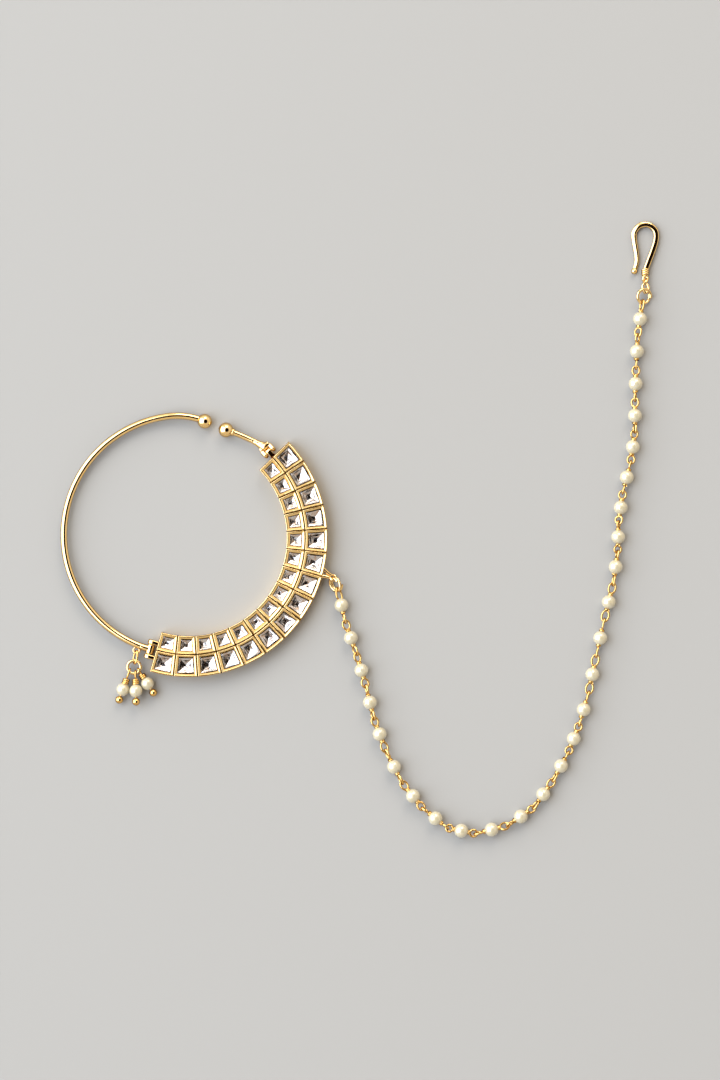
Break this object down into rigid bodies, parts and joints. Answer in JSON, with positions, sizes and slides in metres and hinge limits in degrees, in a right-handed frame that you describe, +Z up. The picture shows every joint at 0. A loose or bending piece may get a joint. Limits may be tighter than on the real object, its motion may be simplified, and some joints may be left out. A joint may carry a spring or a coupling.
{
  "type": "nath nose ring with pearl chain",
  "caption": "Open hoop nose ring with a crescent of square-cut clear stones, small pearl drops, and a pearl chain that ends in a hair hook.",
  "frame": {"origin": "middle of the whole piece's box, on the surface it lies on", "axes": "+Z up from the surface, out of the stones' faces; +Y from the drops towards the hook; +X from the ring towards the chain"},
  "size_m": [0.1316, 0.1354, 0.0035],
  "materials": {
    "gold": "polished gold plating",
    "crystal": "clear cut stone",
    "pearl": "lustrous cream pearl"
  },
  "bodies": {
    "ring": {"setting": "gold", "outer_stone_01": "crystal", "outer_stone_02": "crystal", "outer_stone_03": "crystal", "outer_stone_04": "crystal", "outer_stone_05": "crystal", "outer_stone_06": "crystal", "outer_stone_07": "crystal", "outer_stone_08": "crystal", "outer_stone_09": "crystal", "outer_stone_10": "crystal", "outer_stone_11": "crystal", "outer_stone_12": "crystal", "outer_stone_13": "crystal", "outer_stone_14": "crystal", "outer_stone_15": "crystal", "inner_stone_01": "crystal", "inner_stone_02": "crystal", "inner_stone_03": "crystal", "inner_stone_04": "crystal", "inner_stone_05": "crystal", "inner_stone_06": "crystal", "inner_stone_07": "crystal", "inner_stone_08": "crystal", "inner_stone_09": "crystal", "inner_stone_10": "crystal", "inner_stone_11": "crystal", "inner_stone_12": "crystal", "inner_stone_13": "crystal", "inner_stone_14": "crystal", "inner_stone_15": "crystal", "hoop_hinge_pin": "gold", "stub_hinge_pin": "gold", "chain_jump_ring": "gold", "pearl_chain": "pearl", "hook_jump_ring": "gold", "hair_hook": "gold"},
    "hoop": {"hoop_wire": "gold", "dangle_link": "gold", "dangle_jump_ring": "gold", "dangle_pin_1": "gold", "dangle_pin_2": "gold", "dangle_pin_3": "gold", "dangle_pearl_1": "pearl", "dangle_pearl_2": "pearl", "dangle_pearl_3": "pearl"},
    "stub": {"nose_stub": "gold"}
  },
  "joints": [
    {"name": "hoop_hinge", "type": "hinge", "parent": "ring", "child": "hoop", "pos_m": [-0.04609, -0.02636, 0.0016], "axis": [-0.2807, -0.9598, 0], "range_deg": [-80, 80]},
    {"name": "stub_hinge", "type": "hinge", "parent": "ring", "child": "stub", "pos_m": [-0.02003, 0.01712, 0.0016], "axis": [0.7193, 0.6947, 0], "range_deg": [-80, 80]}
  ]
}
